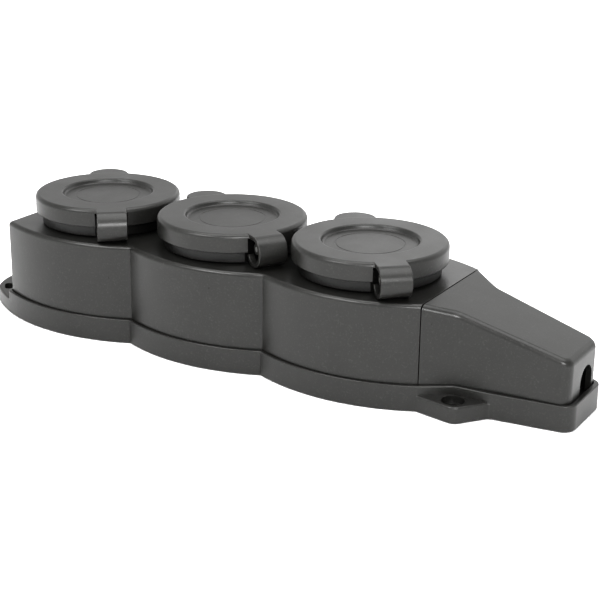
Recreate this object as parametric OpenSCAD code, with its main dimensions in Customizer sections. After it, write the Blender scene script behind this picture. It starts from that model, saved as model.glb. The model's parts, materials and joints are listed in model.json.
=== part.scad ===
// Portable three-way power distribution box: three lidded sockets in a row,
// a sloping terminal cover with the cable entry, and a screw-down base.
// Frame: +X along the box towards the cable entry, +Y to the back, +Z up,
// origin under the middle of the base.

/* [Base] */
// Height of the rim that surrounds the housing and the cover
rim_h = 9.8; // [9.6:0.1:10.4]
// Height of the screw flange and of the two ears
flange_h = 6.4; // [5:0.1:7]
// Thickness of the base floor
floor_t = 3; // [2.5:0.1:3.5]
// Distance from the flange end to the first socket
flange_reach = 52.4; // [51:0.1:54]
// Width of the base across its lobes
base_w = 67.8; // [67:0.1:70]
// Radius of the base's scalloped sides
base_lobe_r = 72.9; // [71:0.1:75]
// Diameter of the screw hole in each ear
ear_hole_d = 5; // [4:0.1:5.5]
// Width of the oblong screw slots in the flange
slot_w = 3.2; // [3:0.1:4.5]

/* [Housing] */
// Height of the flat housing top
housing_top = 39.3; // [39:0.1:39.5]
// Width of the housing across its lobes
housing_w = 65.3; // [64:0.1:65.6]
// Radius of the housing's scalloped sides
housing_lobe_r = 68.9; // [68:0.1:70]
// Thickness of the housing wall and roof
housing_wall = 2.5; // [2:0.1:2.8]

/* [Terminal cover] */
// Length of the terminal cover
cover_len = 51.5; // [50:0.5:56]
// Height of the cover's sloping top at the cable end
cover_end_top = 25.3; // [24:0.1:30]
// Thickness of the cover wall and roof
cover_wall = 2.2; // [1.8:0.1:2.4]
// Width of the arched cable entry
entry_w = 10.9; // [9:0.1:11]

/* [Sockets] */
// Distance between neighbouring socket centres
socket_pitch = 60.4; // [60.2:0.1:62]
// Inner diameter of a plug well
well_d = 39; // [38.6:0.1:39.2]
// Depth of a plug well
well_depth = 17.5; // [17:0.1:17.5]
// Distance between the two plug pins
pin_spacing = 19; // [18.8:0.1:19.2]
// Direction of the left hinge from +X, in degrees
left_hinge_angle = -49.5; // [-51:0.5:-48]
// Direction of the middle hinge from +X, in degrees
middle_hinge_angle = -32.5; // [-36:0.5:-32.5]
// Direction of the right hinge from +X, in degrees
right_hinge_angle = -47; // [-51:0.5:-46]

/* [Lids] */
// Diameter of a lid
lid_d = 58; // [57.5:0.1:58.2]
// Height of the closed lids above the ground
lid_top = 51.4; // [51.2:0.1:52]
// Height of a lid's skirt
skirt_h = 7.1; // [6.8:0.1:7.2]
// Thickness of the lid's plate, skirt and strap
lid_t = 1.6; // [1.4:0.1:1.6]
// Width of the hinge strap
strap_w = 11.5; // [11.2:0.1:12]
// Turn of the thumb tab away from straight opposite the hinge, in degrees
tab_turn = -3; // [-5:0.5:0]
// Outer radius of the strap's curl round the hinge pin
curl_r = 5.9; // [5.8:0.05:5.95]
// Diameter of the hinge pin
hinge_pin_d = 2; // [1.6:0.1:2]

/* [Hidden] */
$fn = 96;
cut = 1;                       // how far a cutting shape passes the face it cuts
sockets = [0, 1, 2];

// Positions along X
end_lip = 2.2;                 // base beyond the end of the cover
seam_reach = 33.1;             // last socket to the seam between housing and cover
left_reach = 32.1;             // first socket to the left end of the housing
base_len = flange_reach + 2 * socket_pitch + seam_reach + cover_len + end_lip;
base_left = -base_len / 2;
base_right = base_len / 2;
function socket_x(k) = base_left + flange_reach + k * socket_pitch;
hinge_angles = [left_hinge_angle, middle_hinge_angle, right_hinge_angle];
housing_left = socket_x(0) - left_reach;
seam_x = socket_x(2) + seam_reach;
cover_end = seam_x + cover_len;

// Heights of the base and of what stands on it
gasket_t = 1;
housing_z = rim_h - 2.6;       // foot of the housing and of the cover
seat_z = housing_z - gasket_t; // ledge that carries the gasket
seat_gap = 0.4;                // groove between a wall and the rim
ledge_w = 2;                   // ledge inside the housing wall
base_lobe_off = base_lobe_r - base_w / 2;
housing_lobe_off = housing_lobe_r - housing_w / 2;
flange_end_r = 29.6;           // radius of the round flange end
rim_end_t = 1.4;               // rim across the left end of the housing

// Base outline around the cover, as distances from the seam and from the middle line
ear_root = [-0.3, 25.7];
ear_tip = [16.2, 29.0];
ear_tip_r = 4;
ear_end = [24.6, 17.8];
rim_root = [0.7, 25.6];
rim_crease = [11.6, 18.3];
base_end_w = 14.4;
base_end_r = 5;

// Screw holes and slots for mounting
ear_hole = [seam_x + 13.3, 22.9];
ear_sink_d = 8.4;
ear_sink_t = 2.4;
flange_slot = [socket_x(0) - 43.3, 14.5];
slot_span = 3.8;               // between the centres of a slot's round ends
slot_angle = 48;               // along the flange's edge

// Cover outline, as half widths at the seam, at the crease and at the end
seam_gap = 0.3;
crease_x = seam_x + 11;
cover_w = [24, 17, 13.7];
cover_end_r = 3;

// Cable entry and clamp
entry_y = 2.8;
entry_z = 13.75;
clamp_x = cover_end - 20;
clamp_l = 8;
clamp_half_w = 9.3;
clamp_screw_off = 7.5;
clamp_split = 0.5;             // gap between clamp bar and saddle
clamp_top = 20.5;
saddle_top = entry_z;

// Screws that hold the housing and the cover to the base
boss_r = 3.8;
screw_r = 1.75;
screw_head_r = 3.4;
screw_head_t = 2.4;
screw_sink_t = 2.6;
screw_top = 22;
housing_screw_y = 19;
end_screw_y = 17;
housing_screw_spots = [
    for (s = [-1, 1]) each [
        [socket_x(0) - 27.1, s * end_screw_y],
        [socket_x(0) + socket_pitch / 2, s * housing_screw_y],
        [socket_x(1) + socket_pitch / 2, s * housing_screw_y],
        [socket_x(2) + 28.1, s * end_screw_y]
    ]
];
cover_screw_spots = [for (s = [-1, 1]) [seam_x + 24.5, s * 9.4]];

// Socket stack, from the top down
collar_r = 26.5;
collar_top = lid_top - 3.5;
collar_gasket_t = 0.5;
roof_hole_r = 24;
spigot_r = 23.8;
well_wall = 1.3;
well_floor_z = collar_top - well_depth;
well_floor_t = 2;
insert_r = well_d / 2 + well_wall;
insert_flange_r = 24;
insert_flange_t = 1.2;
carrier_in_r = insert_r + 0.2;
carrier_r = 23;
carrier_flange_r = 25.5;
carrier_z = 16;
roof_z = housing_top - housing_wall;

// Earth clip
clip_t = 0.8;
clip_w = 6;
clip_x = 18.2;                 // inner face of a clip arm
clip_top = 43;
clip_bulge_z = 39;
clip_bulge_r = 1.2;
clip_strip_z = well_floor_z - well_floor_t - clip_t;
clip_leg_w = 1.6;

// Contacts and bars
sleeve_r = 3.5;
sleeve_bore_r = 2.5;
floor_hole_r = 2.8;
bar_t = 0.8;
bar_z = 12;
bar_w = 4.4;
bar_y = 7;
earth_bar_z = 8;
earth_bar_y = [9.8, 15];
earth_jog_x = socket_x(2) + 17.6;
socket_screw_r = 1.6;
socket_head_r = 3.2;

// Terminal block
block_x = [seam_x + 2.5, seam_x + 18.5];
block_half_w = 11.5;
block_top = 19.8;
terminal_pitch = 7;
terminal_r = 2.5;
terminal_bore_r = 1.6;
terminal_z = bar_z + bar_t / 2;
terminal_spots = [4, 12];      // screws along a terminal, from the block's start

// Lid and hinge, in the frame of one socket with the hinge towards +X
lid_r = lid_d / 2;
curl_x = lid_r + 2.5;          // middle of the curl, which the strap bends round
curl_z = lid_top - curl_r;
curl_end = -70;                // where the curl's middle stops, clear of the lugs
hook_end = -150;               // where the two sides of the curl stop
hinge_x = curl_x + 1.8;        // pin, off the curl's middle so that the lids clear
hinge_z = curl_z + 1.5;        // each other
dish_r = 18;
dish_t = 1.7;
seal_r = [21, 23.9];
lid_lift = 0.2;                // running gap between the closed lid and the collar
tab_r = 8.2;
tab_tip = 36.7;
tab_t = 2;
tab_drop = 0.4;
strap_gap = 0.6;
notch_x = 24.6;
notch_w = strap_w + 1.3;
lug_y = [1.7, 3.1];
lug_eye_r = 1.65;
eye_y = [3.5, 5.2];
eye_r = 2;
eye_web_l = 3;
pin_clearance = 0.05;
pin_half_l = 5.2;
spring_y = [-1.1, 1.1];
spring_r = 1.4;
wire_r = 0.24;
spring_turns = 4;
spring_leg = 1.9;
spring_start = 180;            // legs on the side away from the curl
wire_sides = 8;
turn_steps = 20;

// ---- helpers ----

// A round bar along Y from y[0] to y[1]
module bar_along_y(r, y) {
    translate([0, y[1], 0]) rotate([90, 0, 0]) cylinder(r = r, h = y[1] - y[0]);
}

// A plate with its outline in XZ, from y[0] to y[1]
module plate_xz(points, y) {
    translate([0, y[1], 0]) rotate([90, 0, 0]) linear_extrude(y[1] - y[0]) polygon(points);
}

// A ring standing on z[0], up to z[1]
module ring(r_in, r_out, z) {
    translate([0, 0, z[0]]) difference() {
        cylinder(r = r_out, h = z[1] - z[0]);
        translate([0, 0, -cut]) cylinder(r = r_in, h = z[1] - z[0] + 2 * cut);
    }
}

// A solid of the given 2D outline from z[0] to z[1]
module slab(z) {
    translate([0, 0, z[0]]) linear_extrude(z[1] - z[0]) children();
}

// The frame of one socket: its centre at the origin, its hinge towards +X
module at_socket(k) {
    translate([socket_x(k), 0, 0]) rotate([0, 0, hinge_angles[k]]) children();
}

// Everything drawn on one side of the middle line, repeated on the other
module both_sides() {
    children();
    mirror([0, 1, 0]) children();
}

// Corners are [x, y, radius], in order around a convex or concave outline
function unit(v) = v / norm(v);
function flat2(c) = [c[0], c[1]];
function corner_dirs(c, i) = let (n = len(c), b = flat2(c[i]))
    [unit(flat2(c[(i + n - 1) % n]) - b), unit(flat2(c[(i + 1) % n]) - b)];
function corner_points(c, i) = let (b = flat2(c[i]), d = corner_dirs(c, i))
    c[i][2] == 0 ? [b]
    : let (t = c[i][2] / tan(acos(d[0] * d[1]) / 2)) [b + t * d[0], b + t * d[1]];
function corner_centre(c, i) = let (b = flat2(c[i]), d = corner_dirs(c, i))
    b + unit(d[0] + d[1]) * c[i][2] / sin(acos(d[0] * d[1]) / 2);

module rounded_outline(c) {
    polygon([for (i = [0 : len(c) - 1]) each corner_points(c, i)]);
    for (i = [0 : len(c) - 1])
        if (c[i][2] > 0) translate(corner_centre(c, i)) circle(c[i][2]);
}

// The same corners below and above the middle line
function mirrored(c) = concat(c, [for (i = [len(c) - 1 : -1 : 0]) [c[i][0], -c[i][1], c[i][2]]]);

// ---- outlines ----

// Three overlapping lobes, one per socket, between x[0] and x[1]
module lobes(r, off, x) {
    intersection() {
        for (k = sockets) translate([socket_x(k), 0]) intersection() {
            translate([0, off]) circle(r);
            translate([0, -off]) circle(r);
        }
        translate([x[0], -housing_w]) square([x[1] - x[0], 2 * housing_w]);
    }
}

module housing_plan(inset) {
    lobes(housing_lobe_r - inset, housing_lobe_off, [housing_left + inset, seam_x - inset]);
}

// The cover's outline; an inset one passes through the open seam side
module cover_plan(inset) {
    past = inset == 0 ? 0 : cut;
    slope = (cover_w[0] - cover_w[1]) / (crease_x - seam_x - seam_gap);
    rounded_outline(mirrored([
        [seam_x + seam_gap - past, -cover_w[0] + inset - slope * past, 0],
        [crease_x, -cover_w[1] + inset, 0],
        [cover_end - inset, -cover_w[2] + inset, cover_end_r]
    ]));
}

module cover_end_outline(root, bulge) {
    rounded_outline(mirrored(concat(
        [[seam_x - 3, -20, 0], [seam_x + root[0], -root[1], 0]],
        bulge,
        [[seam_x + ear_end[0], -ear_end[1], 0], [base_right, -base_end_w, base_end_r]]
    )));
}

module base_plan() {
    lobes(base_lobe_r, base_lobe_off, [base_left + flange_end_r / 3, seam_x + rim_root[0]]);
    intersection() {
        lobes(base_lobe_r, base_lobe_off, [base_left - cut, socket_x(0)]);
        translate([base_left + flange_end_r, 0]) circle(flange_end_r);
    }
    cover_end_outline(ear_root, [[seam_x + ear_tip[0], -ear_tip[1], ear_tip_r]]);
}

module rim_plan() {
    lobes(base_lobe_r, base_lobe_off, [housing_left - rim_end_t, seam_x + rim_root[0]]);
    cover_end_outline(rim_root, [[seam_x + rim_crease[0], -rim_crease[1], 0]]);
}

module base_cavity_plan() {
    housing_plan(housing_wall + ledge_w);
    cover_plan(cover_wall + ledge_w - 0.2);
    translate([seam_x - 8, -block_half_w - 1]) square([14, 2 * block_half_w + 2]);
}

// ---- base and housing ----

module base_tray() {
    color("#3c3c3a") difference() {
        union() {
            difference() {
                union() {
                    slab([0, flange_h]) base_plan();
                    slab([0, rim_h]) rim_plan();
                }
                slab([seat_z, rim_h + cut]) {
                    housing_plan(-seat_gap);
                    cover_plan(-seat_gap);
                }
                slab([floor_t, seat_z + cut]) base_cavity_plan();
            }
            for (p = concat(housing_screw_spots, cover_screw_spots))
                translate([p[0], p[1], cut]) cylinder(r = boss_r, h = housing_z - cut);
            translate([clamp_x, entry_y - clamp_half_w, cut])
                cube([clamp_l, 2 * clamp_half_w, saddle_top - cut]);
        }
        for (p = concat(housing_screw_spots, cover_screw_spots)) translate([p[0], p[1], 0]) {
            translate([0, 0, -cut]) cylinder(r = screw_head_r + 0.2, h = screw_sink_t + cut);
            cylinder(r = screw_r + 0.15, h = housing_z + cut);
        }
        both_sides() {
            translate([ear_hole[0], ear_hole[1], 0]) {
                translate([0, 0, -cut]) cylinder(d = ear_hole_d, h = flange_h + 2 * cut);
                translate([0, 0, flange_h - ear_sink_t]) cylinder(d = ear_sink_d, h = rim_h);
            }
            slab([-cut, flange_h + cut]) translate(flange_slot) rotate(slot_angle) {
                square([slot_span, slot_w], center = true);
                for (s = [-1, 1]) translate([s * slot_span / 2, 0]) circle(d = slot_w);
            }
        }
        translate([clamp_x - cut, entry_y, entry_z]) rotate([0, 90, 0])
            cylinder(d = entry_w, h = clamp_l + 2 * cut);
        for (s = [-1, 1])
            translate([clamp_x + clamp_l / 2, entry_y + s * clamp_screw_off, floor_t + 2])
                cylinder(r = 1.3, h = saddle_top);
    }
}

module base_gasket() {
    color("#1d1d1d") slab([seat_z, housing_z]) difference() {
        union() {
            difference() {
                housing_plan(0);
                housing_plan(housing_wall);
            }
            difference() {
                cover_plan(0);
                cover_plan(cover_wall);
            }
        }
        for (p = concat(housing_screw_spots, cover_screw_spots))
            translate(p) circle(boss_r + 0.1);
    }
}

module housing_shell() {
    color("#3f3f3d") difference() {
        union() {
            difference() {
                slab([housing_z, housing_top]) housing_plan(0);
                slab([housing_z - cut, roof_z]) housing_plan(housing_wall);
            }
            for (p = housing_screw_spots) translate([p[0], p[1], housing_z])
                cylinder(r = boss_r, h = roof_z - housing_z + cut);
        }
        for (k = sockets) translate([socket_x(k), 0, roof_z - cut])
            cylinder(r = roof_hole_r, h = housing_wall + 2 * cut);
        for (p = housing_screw_spots) translate([p[0], p[1], housing_z - cut])
            cylinder(r = screw_r + 0.05, h = screw_top - housing_z + 2 * cut);
        translate([seam_x - housing_wall - cut, -block_half_w - 1, housing_z - cut])
            cube([housing_wall + 2 * cut, 2 * block_half_w + 2, block_top - housing_z]);
    }
}

// Side outline of the cover under its sloping top, lowered and shortened by inset
function cover_side(inset) = [
    [seam_x - cut, housing_z - (inset == 0 ? 0 : cut)],
    [cover_end + cut, housing_z - (inset == 0 ? 0 : cut)],
    [cover_end + cut, cover_end_top - inset - cover_drop * cut / cover_len],
    [seam_x - cut, housing_top - inset + cover_drop * cut / cover_len]
];
cover_drop = housing_top - cover_end_top;

module cover_solid(inset) {
    intersection() {
        slab([0, housing_top + cut]) cover_plan(inset);
        plate_xz(cover_side(inset), [-housing_w, housing_w]);
    }
}

module terminal_cover() {
    color("#434341") difference() {
        cover_solid(0);
        difference() {
            cover_solid(cover_wall);
            for (p = cover_screw_spots) translate([p[0], p[1], 0])
                cylinder(r = boss_r, h = housing_top);
        }
        for (p = cover_screw_spots) translate([p[0], p[1], housing_z - cut])
            cylinder(r = screw_r + 0.05, h = screw_top - housing_z + 2 * cut);
        translate([cover_end - cover_wall - cut, entry_y, entry_z]) rotate([0, 90, 0])
            cylinder(d = entry_w, h = cover_wall + 2 * cut);
        translate([cover_end - cover_wall - cut, entry_y - entry_w / 2, housing_z - cut])
            cube([cover_wall + 2 * cut, entry_w, entry_z - housing_z + cut]);
    }
}

// A pan-head screw driven up from below, its head bearing at head_z
module screw_up(r, head_r, head_t, head_z, top) {
    translate([0, 0, head_z - head_t]) cylinder(r = head_r, h = head_t);
    translate([0, 0, head_z - cut]) cylinder(r = r, h = top - head_z + cut);
}

module base_screws(spots) {
    color("#b8b8b4") for (p = spots) translate([p[0], p[1], 0])
        screw_up(screw_r, screw_head_r, screw_head_t, screw_sink_t, screw_top);
}

module housing_screws() { base_screws(housing_screw_spots); }
module cover_screws() { base_screws(cover_screw_spots); }

// ---- cable clamp and terminals ----

module cable_clamp() {
    color("#4b4b4b") difference() {
        translate([clamp_x, entry_y - clamp_half_w, saddle_top + clamp_split])
            cube([clamp_l, 2 * clamp_half_w, clamp_top - saddle_top - clamp_split]);
        translate([clamp_x - cut, entry_y, entry_z]) rotate([0, 90, 0])
            cylinder(d = entry_w, h = clamp_l + 2 * cut);
        for (s = [-1, 1])
            translate([clamp_x + clamp_l / 2, entry_y + s * clamp_screw_off, 0])
                cylinder(r = 1.6, h = housing_top);
    }
}

module clamp_screws() {
    color("#b8b8b4") for (s = [-1, 1])
        translate([clamp_x + clamp_l / 2, entry_y + s * clamp_screw_off, 0]) {
            translate([0, 0, clamp_top]) cylinder(r = 2.1, h = 2);
            translate([0, 0, floor_t + 4]) cylinder(r = 1.25, h = clamp_top - floor_t - 4 + cut);
        }
}

module at_terminals() {
    for (i = [-1, 0, 1]) translate([block_x[0], i * terminal_pitch, terminal_z]) children();
}

module terminal_block() {
    color("#d8d4c8") difference() {
        translate([block_x[0], -block_half_w, floor_t])
            cube([block_x[1] - block_x[0], 2 * block_half_w, block_top - floor_t]);
        at_terminals() {
            translate([-cut, 0, 0]) rotate([0, 90, 0])
                cylinder(r = terminal_r + 0.05, h = block_x[1] - block_x[0] + 2 * cut);
            for (x = terminal_spots) translate([x, 0, terminal_r - 0.5])
                cylinder(r = 2.1, h = block_top);
        }
    }
}

module terminal_tubes() {
    color("#b59a4a") at_terminals() difference() {
        translate([1, 0, 0]) rotate([0, 90, 0])
            cylinder(r = terminal_r, h = block_x[1] - block_x[0] - 1.2);
        rotate([0, 90, 0]) cylinder(r = terminal_bore_r, h = block_x[1] - block_x[0]);
        for (x = terminal_spots) translate([x, 0, 0]) cylinder(r = 1.05, h = 2 * terminal_r);
    }
}

module terminal_screws() {
    color("#b8b8b4") at_terminals() for (x = terminal_spots) translate([x, 0, 0]) {
        translate([0, 0, 1]) cylinder(r = 1, h = 4);
        translate([0, 0, terminal_r + 1]) cylinder(r = 1.9, h = 2.6);
    }
}

// ---- contacts under the sockets ----

module sleeves(side) {
    color("#c8ab52") for (k = sockets) at_socket(k)
        translate([0, side * pin_spacing / 2, 0])
            ring(sleeve_bore_r, sleeve_r, [bar_z + bar_t, clip_strip_z + 0.6]);
}

module live_sleeves() { sleeves(1); }
module neutral_sleeves() { sleeves(-1); }

module busbar(side) {
    start = socket_x(0) - 12;
    color("#c98f4e") translate([start, side * bar_y - bar_w / 2, bar_z])
        cube([block_x[0] + 1 - start, bar_w, bar_t]);
}

module live_busbar() { busbar(1); }
module neutral_busbar() { busbar(-1); }

module earth_busbar() {
    start = socket_x(0) - 17;
    tongue_x = block_x[0] - 1;
    color("#c98f4e") {
        translate([start, earth_bar_y[0], earth_bar_z])
            cube([earth_jog_x + bar_w - start, earth_bar_y[1] - earth_bar_y[0], bar_t]);
        translate([earth_jog_x, -bar_w / 2, earth_bar_z])
            cube([bar_w, earth_bar_y[1] + bar_w / 2, bar_t]);
        translate([earth_jog_x, -bar_w / 2, earth_bar_z])
            cube([tongue_x + bar_t - earth_jog_x, bar_w, bar_t]);
        translate([tongue_x, -bar_w / 2, earth_bar_z])
            cube([bar_t, bar_w, bar_z + bar_t - earth_bar_z]);
        translate([tongue_x, -bar_w / 2, bar_z]) cube([2, bar_w, bar_t]);
    }
}

module socket_screws() {
    color("#b8b8b4") for (k = sockets) translate([socket_x(k), 0, 0]) {
        translate([0, 0, well_floor_z - 1.5]) cylinder(r = socket_head_r, h = 1.4);
        translate([0, 0, carrier_z + 2])
            cylinder(r = socket_screw_r, h = well_floor_z - 1.5 - carrier_z - 1);
    }
}

module contact_carrier(k) {
    color("#e2ddd0") at_socket(k) difference() {
        union() {
            translate([0, 0, carrier_z]) cylinder(r = carrier_r, h = roof_z - carrier_z);
            ring(carrier_in_r, carrier_flange_r, [roof_z - 2, roof_z]);
        }
        translate([0, 0, clip_strip_z]) cylinder(r = carrier_in_r, h = housing_top);
        translate([0, 0, carrier_z - cut]) cylinder(r = socket_screw_r + 0.1, h = housing_top);
        for (s = [-1, 1]) translate([0, s * pin_spacing / 2, carrier_z - cut])
            cylinder(r = sleeve_r + 0.1, h = housing_top);
        translate([-clip_x - 2 * clip_t - 0.2, -clip_leg_w / 2 - 0.2, carrier_z - cut])
            cube([clip_t + 0.4, clip_leg_w + 0.4, housing_top]);
    }
}

module earth_clip(k) {
    color("#cdbd86") at_socket(k) difference() {
        union() {
            translate([-clip_x - 2 * clip_t, -clip_w / 2, clip_strip_z])
                cube([2 * clip_x + 3 * clip_t, clip_w, clip_t]);
            for (s = [0, 1]) mirror([s, 0, 0]) {
                translate([clip_x, -clip_w / 2, clip_strip_z])
                    cube([clip_t, clip_w, clip_top - clip_strip_z]);
                translate([clip_x, 0, clip_bulge_z])
                    bar_along_y(clip_bulge_r, [-clip_w / 2 + 0.5, clip_w / 2 - 0.5]);
            }
            translate([-clip_x - 2 * clip_t, -clip_leg_w / 2, earth_bar_z + bar_t])
                cube([clip_t, clip_leg_w, clip_strip_z - earth_bar_z]);
        }
        translate([0, 0, clip_strip_z - cut]) cylinder(r = socket_screw_r + 0.1, h = clip_top);
        for (s = [-1, 1]) mirror([s > 0 ? 1 : 0, 0, 0])
            translate([clip_x + clip_t, -clip_w, clip_bulge_z - 2]) cube([clip_t, 2 * clip_w, 4]);
    }
}

// ---- sockets ----

module socket_insert(k) {
    color("#4a4a48") at_socket(k) difference() {
        union() {
            translate([0, 0, well_floor_z - well_floor_t])
                cylinder(r = insert_r, h = well_depth + well_floor_t);
            translate([0, 0, collar_top - insert_flange_t])
                cylinder(r = insert_flange_r, h = insert_flange_t);
        }
        translate([0, 0, well_floor_z]) cylinder(d = well_d, h = well_depth + cut);
        translate([0, 0, well_floor_z - 1.5]) cylinder(r = socket_head_r + 0.1, h = well_depth);
        translate([0, 0, clip_strip_z]) cylinder(r = socket_screw_r + 0.1, h = well_depth);
        for (s = [-1, 1]) {
            translate([0, s * pin_spacing / 2, clip_strip_z])
                cylinder(r = floor_hole_r, h = well_depth);
            translate([s * (clip_x + clip_t / 2) - clip_t, -clip_w / 2 - 0.3, clip_strip_z])
                cube([2 * clip_t, clip_w + 0.6, well_floor_t + 2 * cut]);
        }
    }
}

// One of the two lugs that carry the hinge pin clear of the lid's curl
module hinge_lug(y) {
    plate_xz([
        [notch_x - 0.4, hinge_z - 1], [notch_x + 0.8, hinge_z - 1],
        [notch_x + 0.8, hinge_z + 0.9], [curl_x - 3.3, hinge_z + 1.1],
        [curl_x - 0.7, hinge_z - 0.6], [hinge_x - 1.4, hinge_z - 0.9],
        [hinge_x, hinge_z - 0.6], [hinge_x, hinge_z + 1.6],
        [hinge_x - 1.5, hinge_z + 1.8], [hinge_x - 2.7, hinge_z + 2.5],
        [notch_x - 0.2, hinge_z + 2.5], [notch_x - 0.4, hinge_z + 0.9]
    ], y);
    translate([hinge_x, 0, hinge_z]) bar_along_y(lug_eye_r, y);
}

module collar(k) {
    color("#42423f") at_socket(k) difference() {
        union() {
            difference() {
                union() {
                    ring(insert_r + 0.1, collar_r, [housing_top + collar_gasket_t, collar_top]);
                    ring(insert_r + 0.1, spigot_r, [roof_z + 0.2, housing_top + 1]);
                }
                translate([notch_x, -notch_w / 2, housing_top])
                    cube([lid_r, notch_w, lid_r]);
            }
            hinge_lug(lug_y);
            hinge_lug([-lug_y[1], -lug_y[0]]);
        }
        translate([0, 0, collar_top - insert_flange_t])
            cylinder(r = insert_flange_r + 0.1, h = lid_r);
        translate([hinge_x, 0, hinge_z])
            bar_along_y(hinge_pin_d / 2 + 0.02, [-pin_half_l - cut, pin_half_l + cut]);
    }
}

module collar_gasket(k) {
    color("#1d1d1d") at_socket(k)
        ring(roof_hole_r + 0.2, collar_r - 1.6, [housing_top, housing_top + collar_gasket_t]);
}

// ---- lids and hinges ----

// A stretch of the strap's curl between two angles, w wide below y
module curl(angles, y, w) {
    translate([curl_x, y, curl_z]) rotate([90, 0, 0])
        rotate_extrude(angle = angles[1] - angles[0], start = angles[0])
            translate([curl_r - lid_t, 0]) square([lid_t, w]);
}

module lid(k) {
    plate_z = lid_top - lid_t;
    color("#474745") at_socket(k) difference() {
        union() {
            difference() {
                translate([0, 0, lid_top - skirt_h]) cylinder(r = lid_r, h = skirt_h);
                translate([0, 0, lid_top - skirt_h - cut])
                    cylinder(r = lid_r - lid_t, h = skirt_h - lid_t + cut);
                translate([dish_r, -strap_w / 2 - strap_gap, lid_top - skirt_h - cut])
                    cube([lid_r, strap_w + 2 * strap_gap, skirt_h - lid_t + cut]);
            }
            translate([0, 0, lid_top - dish_t - lid_t])
                cylinder(r = dish_r + lid_t, h = dish_t + lid_t - cut / 2);
            translate([dish_r + lid_t, -strap_w / 2, plate_z])
                cube([curl_x - dish_r - lid_t, strap_w, lid_t]);
            curl([curl_end, 90], strap_w / 2, strap_w);
            both_sides() {
                curl([hook_end, curl_end + 1], strap_w / 2, strap_w / 2 - eye_y[0]);
                translate([hinge_x, 0, hinge_z]) bar_along_y(eye_r, eye_y);
                translate([hinge_x, eye_y[0], hinge_z - 0.8 * eye_r])
                    cube([eye_web_l, eye_y[1] - eye_y[0], 1.6 * eye_r]);
            }
            rotate([0, 0, tab_turn]) translate([-tab_tip + tab_r, 0, lid_top - tab_drop - tab_t])
                difference() {
                    cylinder(r = tab_r, h = tab_t);
                    translate([tab_tip - tab_r, 0, -cut]) cylinder(r = lid_r - 1, h = tab_t + 2 * cut);
                }
        }
        translate([0, 0, lid_top - dish_t]) cylinder(r = dish_r, h = dish_t + cut);
        translate([hinge_x, 0, hinge_z])
            bar_along_y(hinge_pin_d / 2 + pin_clearance, [-strap_w / 2, strap_w / 2]);
    }
}

module lid_seal(k) {
    color("#1d1d1d") at_socket(k)
        ring(seal_r[0], seal_r[1], [collar_top + lid_lift, lid_top - lid_t]);
}

module hinge_pin(k) {
    color("#c4c4c0") at_socket(k) translate([hinge_x, 0, hinge_z])
        bar_along_y(hinge_pin_d / 2, [-pin_half_l, pin_half_l]);
}

// Points of one cross-section of the spring wire, at an angle round the pin
// and at a distance along the wire's straight leg
function wire_ring(a, y, leg) = [
    for (j = [0 : wire_sides - 1]) let (
        b = 360 * j / wire_sides,
        out = spring_r + wire_r * cos(b)
    ) [out * cos(a) - leg * sin(a), y + wire_r * sin(b), out * sin(a) + leg * cos(a)]
];

module hinge_spring(k) {
    steps = spring_turns * turn_steps;
    y_at = function (i) spring_y[0] + (spring_y[1] - spring_y[0]) * i / steps;
    rings = concat(
        [wire_ring(spring_start, y_at(0), -spring_leg)],
        [for (i = [0 : steps]) wire_ring(spring_start + 360 * i / turn_steps, y_at(i), 0)],
        [wire_ring(spring_start + 360 * spring_turns, y_at(steps), spring_leg)]
    );
    last = len(rings) - 1;
    sides = [for (i = [0 : last - 1], j = [0 : wire_sides - 1]) let (
        a = i * wire_sides + j,
        b = i * wire_sides + (j + 1) % wire_sides
    ) [a, b, b + wire_sides, a + wire_sides]];
    caps = [
        [for (j = [wire_sides - 1 : -1 : 0]) j],
        [for (j = [0 : wire_sides - 1]) last * wire_sides + j]
    ];
    color("#c4c4c0") at_socket(k) translate([hinge_x, 0, hinge_z])
        polyhedron([for (r = rings) each r], concat(sides, caps));
}

// ---- nodes ----

base_tray();
base_gasket();
housing_shell();
terminal_cover();
housing_screws();
cover_screws();
socket_screws();
live_sleeves();
neutral_sleeves();
live_busbar();
neutral_busbar();
earth_busbar();
terminal_block();
terminal_tubes();
terminal_screws();
cable_clamp();
clamp_screws();
for (k = sockets) {
    socket_insert(k);
    collar(k);
    collar_gasket(k);
    contact_carrier(k);
    earth_clip(k);
    lid(k);
    lid_seal(k);
    hinge_pin(k);
    hinge_spring(k);
}
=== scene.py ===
"""Visible pieces, materials, light and camera of a portable three-socket power box.

Shapes are worked out in millimetres and turned into Blender's metres by solid().
The row of sockets runs along X, the front is towards -Y, and Z is up.
"""

import json
import math
from collections import namedtuple

import bmesh
import bpy
from mathutils import Matrix, Vector


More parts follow.
